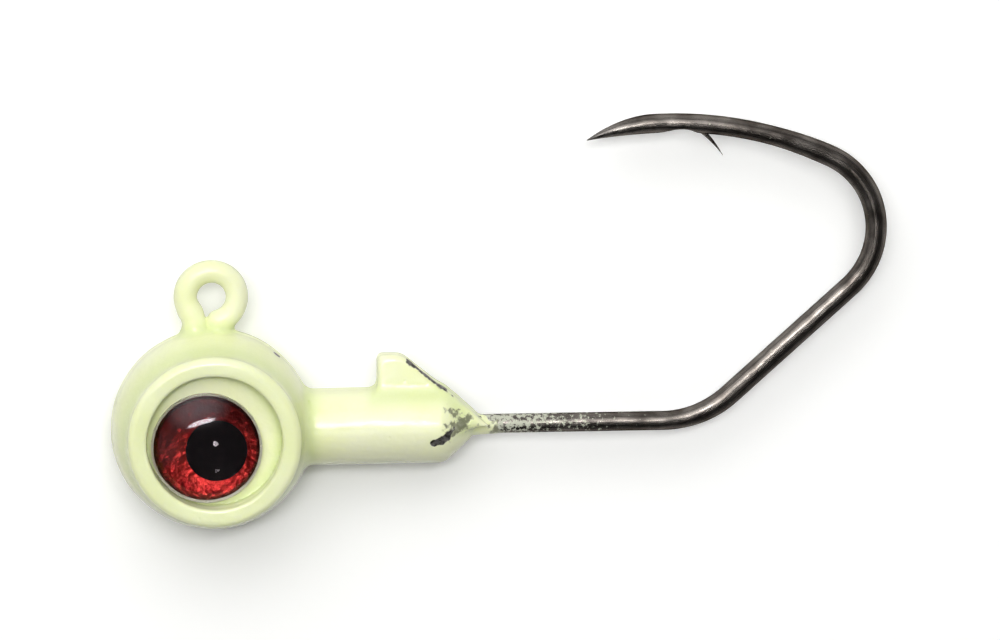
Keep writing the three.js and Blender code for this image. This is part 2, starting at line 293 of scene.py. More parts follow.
drawing = bpy.data.node_groups.new("Drawn and forged wire", "GeometryNodeTree")
for label, kind, default in (("Middle line", "Geometry", None), ("Sides", "Int", WIRE_SIDES),
                             ("Plating", "Material", None)):
    socket = drawing.interface.new_socket(label, in_out="INPUT", socket_type=f"NodeSocket{kind}")
    if default is not None:
        socket.default_value = default
drawing.interface.new_socket("Wire", in_out="OUTPUT", socket_type="NodeSocketGeometry")
given = drawing.nodes.new("NodeGroupInput").outputs


def kept(label, kind="FLOAT"):
    return put(drawing, "GeometryNodeInputNamedAttribute", {"Name": label},
               data_type=kind).outputs["Attribute"]


# A ring of one millimetre is swept along the wire, then each point moves to its place
place = put(drawing, "GeometryNodeInputPosition").outputs[0]
line = put(drawing, "GeometryNodeMeshToCurve", {"Mesh": given["Middle line"]}).outputs["Curve"]
marked = put(drawing, "GeometryNodeStoreNamedAttribute", {
    "Geometry": line, "Name": "middle", "Value": place}, data_type="FLOAT_VECTOR", domain="POINT")
upright = put(drawing, "GeometryNodeSetCurveNormal", {"Curve": marked.outputs[0]}, mode="Z_UP")
ring = put(drawing, "GeometryNodeCurvePrimitiveCircle", {"Resolution": given["Sides"],
                                                         "Radius": 0.001}, mode="RADIUS")
swept = put(drawing, "GeometryNodeCurveToMesh", {
    "Curve": upright.outputs[0], "Profile Curve": ring.outputs["Curve"], "Fill Caps": True})
offset = vectors(drawing, "SCALE", vectors(drawing, "SUBTRACT", place, kept("middle", "FLOAT_VECTOR")))
offset.node.inputs["Scale"].default_value = 1000
left = kept("leftward", "FLOAT_VECTOR")
side = maths(drawing, "MULTIPLY", vectors(drawing, "DOT_PRODUCT", offset, left), kept("girth"))
rise = maths(drawing, "MULTIPLY", vectors(drawing, "DOT_PRODUCT", offset, (0, 0, 1)), kept("girth"))
side = maths(drawing, "MINIMUM", side, kept("inner skin"))
side = maths(drawing, "ADD", maths(drawing, "MULTIPLY", side, kept("wide")), kept("set over"))
rise = maths(drawing, "MULTIPLY", rise, kept("thick"))
lay = put(drawing, "ShaderNodeCombineXYZ", {"X": kept("along"), "Y": side, "Z": rise}).outputs[0]
laid = put(drawing, "GeometryNodeStoreNamedAttribute", {
    "Geometry": swept.outputs[0], "Name": "lay", "Value": lay},
    data_type="FLOAT_VECTOR", domain="POINT")
sideways = vectors(drawing, "SCALE", left)
drawing.links.new(side, sideways.node.inputs["Scale"])
upwards = put(drawing, "ShaderNodeCombineXYZ", {"Z": rise}).outputs[0]
moved = vectors(drawing, "SCALE", vectors(drawing, "ADD", sideways, upwards))
moved.node.inputs["Scale"].default_value = 0.001
forged = put(drawing, "GeometryNodeSetPosition", {
    "Geometry": laid.outputs[0],
    "Position": vectors(drawing, "ADD", kept("middle", "FLOAT_VECTOR"), moved)})
smooth = put(drawing, "GeometryNodeSetShadeSmooth", {"Geometry": forged.outputs[0]})
real = put(drawing, "GeometryNodeRealizeInstances", {"Geometry": smooth.outputs[0]})
plated = put(drawing, "GeometryNodeSetMaterial", {"Geometry": real.outputs[0],
                                                  "Material": given["Plating"]})
put(drawing, "NodeGroupOutput", {"Wire": plated.outputs[0]})


def grown(piece, tree, **values):
    """Runs a tree on a piece and keeps its result as a plain mesh."""
    modifier = piece.modifiers.new(tree.name, "NODES")
    modifier.node_group = tree
    for socket in tree.interface.items_tree:
        if socket.in_out == "INPUT" and socket.name in values:
            modifier[socket.identifier] = values[socket.name]
    evaluated = piece.evaluated_get(bpy.context.evaluated_depsgraph_get())
    mesh = bpy.data.meshes.new_from_object(evaluated)
    piece.modifiers.remove(modifier)
    piece.data = mesh


grown(hook, drawing, Sides=WIRE_SIDES, Plating=nickel)


def skinned(name, points, faces, material=None):
    """An object with a smooth skin, from points in millimetres on the jig."""
    mesh = bpy.data.meshes.new(name)
    mesh.from_pydata(in_place(points).tolist(), [], [list(map(int, face)) for face in faces])
    mesh.shade_smooth()
    mesh.set_sharp_from_angle(angle=math.radians(35))
    if material:
        mesh.materials.append(material)
    piece = bpy.data.objects.new(name, mesh)
    scene.collection.objects.link(piece)
    return piece


# The barb is a sliver raised with a chisel, still joined to the wire at its root
BARB_BACK, BARB_LIFT, BARB_SIDES = 1.35, 1.1, 14
BARB_AHEAD, BARB_SUNK = 0.45, 0.34  # where its root starts, ahead of and under the cut
barb_points, barb_faces = [], []
share = np.linspace(0, 1, 15)
barb_s = barb_root + BARB_AHEAD - (BARB_BACK + BARB_AHEAD) * share
barb_side = WIRE_R - BARB_SUNK + (BARB_LIFT + BARB_SUNK) * share ** 1.3
barb_wide = 0.20 * (1 - share ** 2.2) + 0.012
barb_deep = 0.155 * (1 - share ** 1.3) + 0.01
slope = np.gradient(barb_side, barb_s)
lean = np.hypot(1, slope)
around = np.linspace(0, 2 * np.pi, BARB_SIDES, endpoint=False)
barb_lay = []
for i in range(len(share)):
    for angle in around:
        deep, wide = barb_deep[i] * math.cos(angle), barb_wide[i] * math.sin(angle)
        s, over = barb_s[i] - deep * slope[i] / lean[i], barb_side[i] + deep / lean[i]
        barb_points.append(on_wire(s, over, wide))
        barb_lay.append((s, over, wide))
for i in range(len(share) - 1):
    for j in range(BARB_SIDES):
        k = (j + 1) % BARB_SIDES
        a, b = i * BARB_SIDES, (i + 1) * BARB_SIDES
        barb_faces.append((a + j, b + j, b + k, a + k))
barb_faces.append(tuple(range(BARB_SIDES)))
barb_faces.append(tuple(reversed(range((len(share) - 1) * BARB_SIDES, len(share) * BARB_SIDES))))
barb = skinned("barb", barb_points, barb_faces, nickel)
barb.data.attributes.new("lay", "FLOAT_VECTOR", "POINT").data.foreach_set(
    "vector", np.array(barb_lay).ravel())


def joined(first, second):
    """One piece from two."""
    with bpy.context.temp_override(active_object=first, object=first,
                                   selected_objects=[first, second],
                                   selected_editable_objects=[first, second]):
        bpy.ops.object.join()
    return first


joined(hook, barb)


def turned_out(piece):
    """Turns every face of a closed piece outwards."""
    skin = bmesh.new()
    skin.from_mesh(piece.data)
    bmesh.ops.recalc_face_normals(skin, faces=skin.faces)
    skin.to_mesh(piece.data)
    skin.free()
    piece.data.update()


turned_out(hook)
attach(hook, "root")
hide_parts("jig_hook")

# ---- The lead casting ------------------------------------------------------------
# Lead poured round the front of the hook in a two-part mould: the ball with an eye
# socket in each cheek, the collar and the bait keeper. Paint covers all of it but
# a few rubbed spots.


def cast_lead():
    """Dull grey metal with the mould's fine grain and darker oxide."""
    material, tree, shader = new_finish("cast_lead_grey")
    where = object_place(tree)
    oxide = noise(tree, where, 900, 6)
    grain = noise(tree, where, 5200, 3)
    feed(tree, shader, Base_Color=ramp(tree, oxide, (0.10, 0.10, 0.11), (0.32, 0.33, 0.35), 0.3, 0.7),
         Roughness=ranged(tree, oxide, 0.0, 1.0, 0.42, 0.7), Normal=bumped(tree, grain, 0.5, 0.00003))
    shader.inputs["Metallic"].default_value = 0.85
    return material


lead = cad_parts["lead_head"]
lead.data.materials.clear()
lead.data.materials.append(cast_lead())

# ---- The powder coat ---------------------------------------------------------------
# Pale glow-in-the-dark powder, melted on and baked. It rounds every edge, pools in
# the corners, covers the line-tie ring too, and runs out along the shank behind the
# tail. It is scuffed through to the lead at the tail. A painted shade line, drawn as
# bare lead, runs down the keeper's rear edge, and the corners carry painted shade.
BALL_FLAT = 3.7  # the ball is cut off beside the bezels
BEZEL_R, BEZEL_FACE, BEZEL_EDGE = 4.70, 4.15, 0.42
SOCKET_R, SOCKET_FLOOR = 3.65, 2.80
COLLAR_R, COLLAR_FROM, CONE_FROM, TAIL_R = 2.10, 2.0, 12.658, 0.691
KEEPER_FRONT, KEEPER_TOP, KEEPER_FOOT, KEEPER_RISE = 9.0, 4.0, 1.95, 1.9
KEEPER_FOOT_HALF, KEEPER_TIP_HALF, COAT = 0.8, 0.55, 0.15
KEEPER_REAR, KEEPER_REAR_WAY = (12.6, 1.93), (0.642, 0.7667)  # a point on it, and outwards
SLEEVE_FROM, SLEEVE_END, SLEEVE_R, SLEEVE_THIN = 10.0, 16.8, 0.645, 0.565
RING_Y, STEM_COATED_FROM, COATED_WIRE_R = 7.3, 3.0, 0.640
RING_FROM, RING_TO = -74, 215  # the ring's middle line, in degrees
BEZEL_FILLET, KEEPER_FILLET, COLLAR_FILLET, RING_FILLET = 0.4, 0.55, 0.45, 0.5
SOCKET_LIP, SLEEVE_FILLET = 0.16, 0.12
FLASH_HIGH, FLASH_WIDE = 0.05, 0.13
WAVE_HIGH, WAVE_LONG = 0.035, 3.2


def melted(a, b, run):
    """Two solids joined with a fillet of molten powder."""
    share = np.clip(0.5 + 0.5 * (b - a) / run, 0, 1)
    return b + (a - b) * share - run * share * (1 - share)


def rounded(a, b, run):
    """What two solids share, with the edge between them rounded."""
    return -melted(-a, -b, run)


def parts_of_coat(p):
    """How far points lie outside each part of the coated casting, in millimetres."""
    px, py, pz = p[..., 0], p[..., 1], p[..., 2]
    high = np.abs(pz)
    out = np.hypot(px, py)
    ball = rounded(np.sqrt(out ** 2 + pz ** 2) - BALL_R, high - BALL_FLAT, 0.3)
    over, above = out - (BEZEL_R - BEZEL_EDGE), high - (BEZEL_FACE - BEZEL_EDGE)
    drum = (np.hypot(np.maximum(over, 0), np.maximum(above, 0))
            + np.minimum(np.maximum(over, above), 0) - BEZEL_EDGE)
    socket = np.maximum(out - SOCKET_R, SOCKET_FLOOR - high)
    reach = np.hypot(py, pz)
    fall = np.array([COLLAR_R - TAIL_R, TAIL_X - CONE_FROM])
    fall = fall / np.hypot(*fall)
    cone = (px - CONE_FROM) * fall[0] + (reach - COLLAR_R) * fall[1]
    collar = rounded(rounded(reach - COLLAR_R, cone, 0.25), px - TAIL_X, 0.2)
    collar = np.maximum(collar, COLLAR_FROM - px)
    taper = np.clip((py - KEEPER_FOOT) / KEEPER_RISE, -1, 1)
    half = KEEPER_FOOT_HALF + (KEEPER_TIP_HALF - KEEPER_FOOT_HALF) * taper + COAT
    rear = ((px - KEEPER_REAR[0]) * KEEPER_REAR_WAY[0]
            + (py - KEEPER_REAR[1]) * KEEPER_REAR_WAY[1] - COAT)
    edges = rounded(rounded(KEEPER_FRONT - px, py - KEEPER_TOP, 0.35), rear, 0.3)
    keeper = rounded(np.maximum(edges, -py), high - half, 0.3)
    return ball, drum, socket, collar, keeper


def bow(p, middle_x, middle_y, radius, first, last):
    """Distance from the middle line of a bent stretch of wire."""
    dx, dy = p[..., 0] - middle_x, p[..., 1] - middle_y
    centre, span = math.radians((first + last) / 2), math.radians(abs(last - first) / 2)
    turn = np.arctan2(dy, dx) - centre
    turn = np.clip((turn + np.pi) % (2 * np.pi) - np.pi, -span, span) + centre
    return np.sqrt((dx - radius * np.cos(turn)) ** 2 + (dy - radius * np.sin(turn)) ** 2
                   + p[..., 2] ** 2)


def tie_ring(p):
    """How far points lie outside the coated line-tie ring, its neck and its stem."""
    ring_line = bow(p, 0, RING_Y, RING_R, RING_FROM, RING_TO)
    neck_line = bow(p, STEM_X - NECK_R, STEM_TOP, NECK_R, 0, NECK_TURN)
    above, below = p[..., 1] - STEM_TOP, STEM_COATED_FROM - p[..., 1]
    stem_line = np.sqrt((p[..., 0] - STEM_X) ** 2 + np.maximum(above, 0) ** 2
                        + np.maximum(below, 0) ** 2 + p[..., 2] ** 2)
    return melted(melted(ring_line, neck_line, 0.2), stem_line, 0.15) - COATED_WIRE_R


def ripple(p, size, seed):
    """Slow unevenness of the melted powder, between 0 and 1."""
    chance = np.random.default_rng(seed)
    total = np.zeros(p.shape[:-1])
    for _ in range(7):
        way = chance.normal(size=3)
        way *= 2 * np.pi / (np.linalg.norm(way) * size * chance.uniform(0.7, 1.5))
        total += np.sin(p @ way + chance.uniform(0, 6.28))
    return 0.5 + 0.5 * np.tanh(total / 2.6)


def sleeve(p):
    """The coat's run-out on the shank: it thins, breaks into patches and stops."""
    px = p[..., 0]
    reach = np.hypot(p[..., 1], p[..., 2])
    share = np.clip((px - TAIL_X) / (SLEEVE_END - TAIL_X), 0, 1)
    facing = p[..., 1] / np.maximum(reach, 1e-6)
    ragged = ripple(p, 0.9, 5) - 0.5
    thin = SLEEVE_R + (SLEEVE_THIN - SLEEVE_R) * share ** 0.7
    bare = np.clip((facing - 0.62 + 0.9 * ragged) / 0.35, 0, 1) * np.clip(share * 5, 0, 1)
    gone = np.clip(share * 1.7 - 0.75 + 0.9 * ragged, 0, 1)
    thin = thin - 0.15 * bare - 0.25 * gone
    return np.maximum(np.maximum(reach - thin, px - SLEEVE_END), SLEEVE_FROM - px)


def coat_field(p):
    """How far points lie outside the whole coat, with its fillets, flash and waves."""
    ball, drum, socket, collar, keeper = parts_of_coat(p)
    body = melted(ball, drum, BEZEL_FILLET)
    body = melted(body, melted(collar, keeper, KEEPER_FILLET), COLLAR_FILLET)
    body = rounded(body, -socket, SOCKET_LIP)
    body = melted(body, tie_ring(p), RING_FILLET)
    body = melted(body, sleeve(p), SLEEVE_FILLET)
    # The mould halves meet at z = 0 and leave a low line of flash under the paint
    flash = FLASH_HIGH * np.exp(-(p[..., 2] / FLASH_WIDE) ** 2)
    flash = flash * np.clip((TAIL_X - p[..., 0]) / 0.8, 0, 1)
    flash = flash * np.clip((BALL_R + 0.35 - p[..., 1]) / 0.4, 0, 1)
    return body - flash + WAVE_HIGH * ripple(p, WAVE_LONG, 11)


def skin_net(field, low, high, step):
    """A closed skin of four-sided faces where a field passes zero."""
    axes = [np.arange(a, b + step, step) for a, b in zip(low, high)]
    grid = np.stack(np.meshgrid(*axes, indexing="ij"), axis=-1)
    value = np.concatenate([field(slab) for slab in np.array_split(grid, 12)])
    inside = value < 0
    shape = tuple(n - 1 for n in inside.shape)

    def corner(array, i, j, k):
        return array[i:i + shape[0], j:j + shape[1], k:k + shape[2]]

    count = sum(corner(inside, i, j, k).astype(np.int8)
                for i in (0, 1) for j in (0, 1) for k in (0, 1))
    crossed = (count > 0) & (count < 8)
    number = np.full(shape, -1)
    number[crossed] = np.arange(crossed.sum())
    cells = np.argwhere(crossed)
    total = np.zeros((len(cells), 3))
    hits = np.zeros(len(cells))
    for axis in range(3):
        for a in (0, 1):
            for b in (0, 1):
                first = np.insert([a, b], axis, 0)
                start, end = cells + first, cells + first + np.eye(3, dtype=int)[axis]
                va, vb = value[tuple(start.T)], value[tuple(end.T)]
                cut = (va < 0) != (vb < 0)
                share = np.where(cut, va / np.where(cut, va - vb, 1), 0)
                point = start + (end - start) * share[:, None]
                total += point * cut[:, None]
                hits += cut
    points = total / hits[:, None] * step + np.array(low)
    faces = []
    for axis in range(3):
        span = [slice(1, -1)] * 3
        span[axis] = slice(0, -1)
        ahead = list(span)
        ahead[axis] = slice(1, None)
        here, there = inside[tuple(span)], inside[tuple(ahead)]
        spots = np.argwhere(here != there)
        leaving = here[tuple(spots.T)]
        at = spots + 1
        at[:, axis] -= 1
        u, v = np.eye(3, dtype=int)[[(axis + 1) % 3, (axis + 2) % 3]]
        quad = np.stack([number[tuple((at - m).T)] for m in (u + v, v, 0 * u, u)], axis=1)
        quad[~leaving] = quad[~leaving][:, ::-1]
        faces.append(quad)
    return points, np.concatenate(faces)


def drawn_in(field, points, rounds=4):
    """Moves points along the slope of a field until they lie where it is zero."""
    nudge = 0.01
    for _ in range(rounds):
        value = field(points)
        slope = np.stack([field(points + d) - field(points - d)
                          for d in np.eye(3) * nudge], axis=-1) / (2 * nudge)
        steep = np.maximum((slope ** 2).sum(axis=-1), 0.2)
        points = points - slope * np.clip(value / steep, -0.06, 0.06)[:, None]
    return points


COAT_STEP = 0.125
NET_LOW, NET_HIGH = (-5.8, -5.8, -4.4), (17.2, 9.8, 4.4)  # opposite corners, clear of the coat
skin_points, skin_faces = skin_net(coat_field, NET_LOW, NET_HIGH, COAT_STEP)
skin_points = drawn_in(coat_field, skin_points)


def nearness(p, marks):
    """Distance to the nearest of some short marks, each a line with a half width."""
    best = np.full(len(p), 9.0)
    for line_points, half_width in marks:
        line_points = np.array(line_points, float)
        for a, b in zip(line_points[:-1], line_points[1:]):
            t = np.clip(((p - a) @ (b - a)) / ((b - a) @ (b - a)), 0, 1)
            best = np.minimum(best, np.linalg.norm(p - a - t[:, None] * (b - a), axis=1) - half_width)
    return best


WEAR_AND_SHADE_LINES = (
    # The first two lines are a painted shade line down the keeper's rear edge to the tail, drawn as
    # bare lead; the rest are real scuffs
    (((10.70, 3.60, 0.50), (11.6, 2.88, 0.56), (12.6, 2.04, 0.62)), 0.19),  # keeper's rear edge
    (((12.6, 2.04, 0.62), (13.1, 1.42, 0.95), (13.7, 0.95, 0.72)), 0.12),
    (((11.95, -0.66, 2.00), (12.35, -0.50, 2.04)), 0.17),  # where the collar ends
    (((12.35, -0.50, 2.04), (12.75, -0.25, 2.00)), 0.24),
    (((12.75, -0.25, 2.00), (13.05, 0.10, 1.72)), 0.10),
    (((14.0, 0.50, 0.62), (14.6, 0.40, 0.40)), 0.14),
    (((3.44, 4.22, 0.72), (3.52, 4.15, 0.70)), 0.19),  # a chip on the ball
)
THIN_SPOTS = (
    (((12.9, -0.05, 1.90), (13.4, 0.25, 1.39), (14.1, 0.35, 0.70)), 0.22),
    (((12.9, 1.0, 1.55), (13.6, 0.6, 1.05)), 0.05),
)
JOINT_POOLING_AND_SHADE = ((((5.15, 0.7, 2.0), (5.2, 1.7, 1.3)), 0.0),)
ball, drum, socket, collar, keeper = parts_of_coat(skin_points)
ring_off = tie_ring(skin_points)


def between(a, b, run):
    return np.exp(-((np.abs(a) + np.abs(b)) / run) ** 2)


out = np.hypot(skin_points[:, 0], skin_points[:, 1])
floor_corner = np.hypot(out - SOCKET_R, np.abs(skin_points[:, 2]) - SOCKET_FLOOR)
# Darker, greener tone in the creases between ball, bezel, collar, keeper and ring and in the socket's
# floor corner: paint pooling there, and painted shade where these corners lie in shade
pooling_and_painted_shade = np.maximum.reduce([
    between(ball, drum, 0.5), between(ball, collar, 0.55), between(collar, keeper, 0.45),
    between(np.minimum(ball, drum), ring_off, 0.5), np.exp(-(floor_corner / 0.4) ** 2),
])

# Where the powder is thin, the paint is paler and the lead is nearer
run_out = np.where(skin_points[:, 0] > TAIL_X - 0.2, 0.9 - 0.75 * (skin_points[:, 0] - TAIL_X), 9.0)
# A short line at the ball and collar joint gets the same tone: paint pooling and a painted shade line
pooling_and_painted_shade = np.maximum(pooling_and_painted_shade, 1.4 * np.exp(-(nearness(skin_points, JOINT_POOLING_AND_SHADE) / 0.18) ** 2))
coat_stuff = {"pooling_and_painted_shade": pooling_and_painted_shade, "wear_and_shade_line": nearness(skin_points, WEAR_AND_SHADE_LINES),
              "thin": np.minimum(nearness(skin_points, THIN_SPOTS), run_out)}


def glow_powder():
    """Baked glow powder: glossy and pale yellow-green, darker and greener in corners and creases,
    which is paint pooling and painted shade together.
    """
    material, tree, shader = new_finish("glow_powder_paint")
    where = object_place(tree)
    speck = noise(tree, where, 7000, 3, 0.6)
    peel = noise(tree, where, 1500, 2)
    edge = noise(tree, where, 3600, 4)
    drift = ranged(tree, noise(tree, where, 260, 1), 0.25, 0.75, eased=True)
    tone = mixed(tree, drift, (0.885, 0.93, 0.51), (0.92, 0.955, 0.63))
    # Painted shade and paint pooling: a darker, greener tone in corners and creases
    crease_pooling_and_shade = mixed(tree, maths(tree, "MULTIPLY", attribute(tree, "pooling_and_painted_shade"), 0.75), tone,
                   (0.64, 0.74, 0.28))
    grains = maths(tree, "MULTIPLY", maths(tree, "SUBTRACT", speck, 0.5), 0.22)
    grained = mixed(tree, maths(tree, "ADD", grains, 0.12, clamp=True), crease_pooling_and_shade, (0.93, 0.95, 0.84))

    # Scuffs and the painted shade line on the keeper's rear edge have ragged edges, and thin spots
    # break up into patches
    bite = maths(tree, "SUBTRACT", noise(tree, where, 1300, 2), 0.5)
    chips = maths(tree, "SUBTRACT", edge, 0.5)
    wear_and_shade_line = maths(tree, "ADD", attribute(tree, "wear_and_shade_line"), maths(tree, "MULTIPLY", bite, 0.5))
    ragged = maths(tree, "ADD", wear_and_shade_line, maths(tree, "MULTIPLY", chips, 0.24))
    bare = ranged(tree, ragged, 0.03, -0.02)
    patchy = maths(tree, "ADD", attribute(tree, "thin"), maths(tree, "MULTIPLY", chips, 1.6))
    faint = ranged(tree, patchy, 0.22, 0.0, 0.0, 0.7)
    worn = maths(tree, "MAXIMUM", bare, faint)
    metal = ramp(tree, edge, (0.038, 0.034, 0.029), (0.23, 0.22, 0.21), 0.38, 0.66)

    pits = put(tree, "ShaderNodeTexVoronoi", {"Vector": where, "Scale": 1150, "Randomness": 1.0})
    chosen = maths(tree, "GREATER_THAN", put(tree, "ShaderNodeSeparateColor", {
        0: pits.outputs["Color"]}).outputs[0], 0.86)
    pit = maths(tree, "MULTIPLY",
                ranged(tree, pits.outputs["Distance"], 0.0, 0.16, 1.0, 0.0, eased=True), chosen)
    relief = maths(tree, "ADD", peel, maths(tree, "MULTIPLY", speck, 0.12))
    relief = maths(tree, "SUBTRACT", relief, maths(tree, "MULTIPLY", pit, 0.7))
    relief = maths(tree, "SUBTRACT", relief, maths(tree, "MULTIPLY", worn, 0.8))
    gloss = ranged(tree, peel, 0.0, 1.0, 0.19, 0.27)
    feed(tree, shader, Base_Color=mixed(tree, worn, grained, metal),
         Metallic=maths(tree, "MULTIPLY", worn, 0.6),
         Roughness=maths(tree, "ADD", gloss, maths(tree, "MULTIPLY", worn, 0.25)),
         Normal=bumped(tree, relief, 0.7, 0.00004))
    # The glow pigment is pale crystal in clear resin, so light soaks in a little way
    shader.inputs["Subsurface Weight"].default_value = 0.3
    shader.inputs["Subsurface Radius"].default_value = (1.0, 1.0, 0.35)
    shader.inputs["Subsurface Scale"].default_value = 0.0006
    return material


powder = glow_powder()
coat = skinned("glow_powder_skin", skin_points, skin_faces, powder)
for label, values in coat_stuff.items():
    coat.data.attributes.new(label, "FLOAT", "POINT").data.foreach_set("value", values)
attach(coat, "root")
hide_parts("powder_coat")

# ---- The stick-on eyes -------------------------------------------------------------
# Each eye is a doming sticker: clear adhesive, red foil with a fine crinkle, a black
# pupil printed off centre, and a hard clear resin dome that was poured on it and
# crept to the sticker's edge. Each one stopped off centre in its socket.
EYE_R = 3.0
GLUE_INSET, FOIL_INSET, PUPIL_R = 0.03, 0.20, 1.6
GLUE_FROM, GLUE_TO, FOIL_FROM, FOIL_TO = 2.82, 2.94, 2.96, 3.04
PUPIL_FROM, PUPIL_TO = 3.044, 3.054
LENS_FROM, LENS_WALL, LENS_RIM, LENS_TOP = 2.95, 3.26, 3.31, 4.04
LENS_EDGE, DOME_POWER, DOME_RINGS = 0.03, 2.4, 34
EYE_SIDES = 96


def spun(profile, sides):
    """Points and faces of a [radius, height] outline spun round the eye's axis."""
    points, faces, rings = [], [], []
    for radius, height in profile:
        if radius < 1e-6:
            rings.append([len(points)])
            points.append((0, 0, height))
            continue
        rings.append(list(range(len(points), len(points) + sides)))
        for i in range(sides):
            angle = 2 * math.pi * i / sides
            points.append((radius * math.cos(angle), radius * math.sin(angle), height))
    for below, above in zip(rings[:-1], rings[1:]):
        for i in range(sides):
            j = (i + 1) % sides
            if len(below) == 1:
                faces.append((below[0], above[j], above[i]))
            elif len(above) == 1:
                faces.append((below[i], below[j], above[0]))
            else:
                faces.append((below[i], below[j], above[j], above[i]))
    return np.array(points), faces


def flat_disc(radius, low, high, rings, edge):
    """Outline of a thin disc with cut-back edges, its top divided into rings."""
    radii = [radius * i / rings for i in range(rings)] + [radius - edge]
    profile = [(0, low), (radius - edge, low), (radius, low + edge), (radius, high - edge)]
    return profile + [(r, high) for r in reversed(radii)]


dome = [(0, LENS_FROM), (EYE_R - LENS_EDGE, LENS_FROM), (EYE_R, LENS_FROM + LENS_EDGE),
        (EYE_R, LENS_WALL)]
for r in EYE_R * np.sin(np.linspace(np.pi / 2, 0, DOME_RINGS)):
    dome.append((r, LENS_RIM + (LENS_TOP - LENS_RIM) * (1 - (r / EYE_R) ** DOME_POWER)))


def eye_adhesive():
    """Clear yellowish pressure-sensitive glue, seen only at the eye's edge."""
    material, tree, shader = new_finish("eye_adhesive_film")
    cloud = noise(tree, object_place(tree), 1800, 3)
    feed(tree, shader, Base_Color=ramp(tree, cloud, (0.60, 0.57, 0.44), (0.80, 0.77, 0.64)),
         Normal=bumped(tree, cloud, 0.4, 0.00002))
    shader.inputs["Roughness"].default_value = 0.5
    return material


def red_foil():
    """Red metal film, dished by the resin's pull and finely crinkled, with a dark rim."""
    material, tree, shader = new_finish("red_metal_foil")
    disc_place = attribute(tree, "on disc", "Vector")
    out = put(tree, "ShaderNodeVectorMath", {0: disc_place}, operation="LENGTH").outputs["Value"]
    crinkle = put(tree, "ShaderNodeTexVoronoi", {"Vector": disc_place, "Scale": 2.1,
                                                 "Randomness": 1.0}, feature="F1").outputs
    tone = ramp(tree, crinkle["Color"], (0.30, 0.014, 0.016), (0.47, 0.036, 0.030))
    rim = ranged(tree, out, 2.56, 2.70)
    dish = maths(tree, "MULTIPLY", maths(tree, "POWER", out, 2.0), 0.032)
    relief = maths(tree, "ADD", dish, maths(tree, "MULTIPLY", crinkle["Distance"], 0.055))
    relief = maths(tree, "ADD", relief, maths(tree, "MULTIPLY", noise(tree, disc_place, 5.0, 4), 0.05))
    feed(tree, shader, Base_Color=mixed(tree, rim, tone, (0.085, 0.012, 0.009)),
         Normal=bumped(tree, relief, 1.0, 0.001))
    shader.inputs["Metallic"].default_value = 1.0
    shader.inputs["Roughness"].default_value = 0.31
    return material


def pupil_black():
    """Black ink, a little uneven in tone and gloss."""
    material, tree, shader = new_finish("pupil_black_ink")
    cloud = noise(tree, object_place(tree), 2600, 3)
    feed(tree, shader, Base_Color=ramp(tree, cloud, (0.004, 0.003, 0.004), (0.012, 0.008, 0.010)),
         Roughness=ranged(tree, cloud, 0.0, 1.0, 0.3, 0.5))
    shader.inputs["Specular IOR Level"].default_value = 0.05
    return material


def clear_resin():
    """Hard clear resin with a faint ripple in its poured face."""
    material, tree, shader = new_finish("clear_domed_resin")
    ripples = noise(tree, object_place(tree), 700, 1)
    feed(tree, shader, Normal=bumped(tree, ripples, 0.15, 0.00002))
    shader.inputs["Base Color"].default_value = (0.98, 0.98, 0.97, 1)
    shader.inputs["Roughness"].default_value = 0.03
    shader.inputs["IOR"].default_value = 1.5
    shader.inputs["Transmission Weight"].default_value = 1.0
    shader.inputs["Specular Tint"].default_value = (0.52, 0.47, 0.5, 1)
    return material


glue, foil, ink, resin = eye_adhesive(), red_foil(), pupil_black(), clear_resin()
EYES = (  # cheek, up or down, where the eye stopped, where its pupil lies on it
    ("left", 1, (-0.416, -0.416), (0.51, -0.12)),
    ("right", -1, (0.2275, 0.2925), (-0.36, -0.39)),
)
for cheek, up, stopped, pupil_at in EYES:
    layers = (  # piece, outline, place on the eye, material, slot
        ("eye_adhesive", flat_disc(EYE_R - GLUE_INSET, GLUE_FROM, GLUE_TO, 2, 0.02), (0, 0),
         glue, "eye_adhesive"),
        ("iris_foil", flat_disc(EYE_R - FOIL_INSET, FOIL_FROM, FOIL_TO, 16, 0.015), (0, 0),
         foil, "red_foil"),
        ("pupil", flat_disc(PUPIL_R, PUPIL_FROM, PUPIL_TO, 3, 0.002), pupil_at,
         ink, "pupil_black"),
        ("eye_lens", dome, (0, 0), resin, "clear_lens"),
    )
    for layer, profile, shift, material, slot in layers:
        points, faces = spun(profile, EYE_SIDES)
        on_disc = points * (1, 1, 0)
        points[:, :2] += np.array(shift)
        if up < 0:
            points = points * (1, -1, -1)
        points[:, :2] += np.array(stopped)
        piece = skinned(f"{cheek}_{layer}_fine", points, faces, material)
        piece.data.attributes.new("on disc", "FLOAT_VECTOR", "POINT").data.foreach_set(
            "vector", on_disc.ravel())
        turned_out(piece)
        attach(piece, "root")
        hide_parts(f"{cheek}_{layer}")

# ---- The table, the light and the camera ---------------------------------------------
# The jig lies on one cheek on a plain white table in a pale room. A wide window and
# a tube lamp stand on the side of its point, with two small bulbs and a dim wall.
middle = (Vector(cad_low) + Vector(cad_high)) / 2
TABLE_REACH = 1.5
corners = [(x * TABLE_REACH, y * TABLE_REACH, cad_low[2])
           for x, y in ((-1, -1), (1, -1), (1, 1), (-1, 1))]
table_mesh = bpy.data.meshes.new("table")
table_mesh.from_pydata(corners, [], [(0, 1, 2, 3)])
table_top = bpy.data.objects.new("table_top", table_mesh)
scene.collection.objects.link(table_top)


def looked_at(tree):
    """One on a ray that shows a surface to the eye, plainly or in gloss or glass."""
    path = put(tree, "ShaderNodeLightPath").outputs
    shiny = maths(tree, "MAXIMUM", path["Is Glossy Ray"], path["Is Transmission Ray"])
    return maths(tree, "MAXIMUM", path["Is Camera Ray"], shiny)


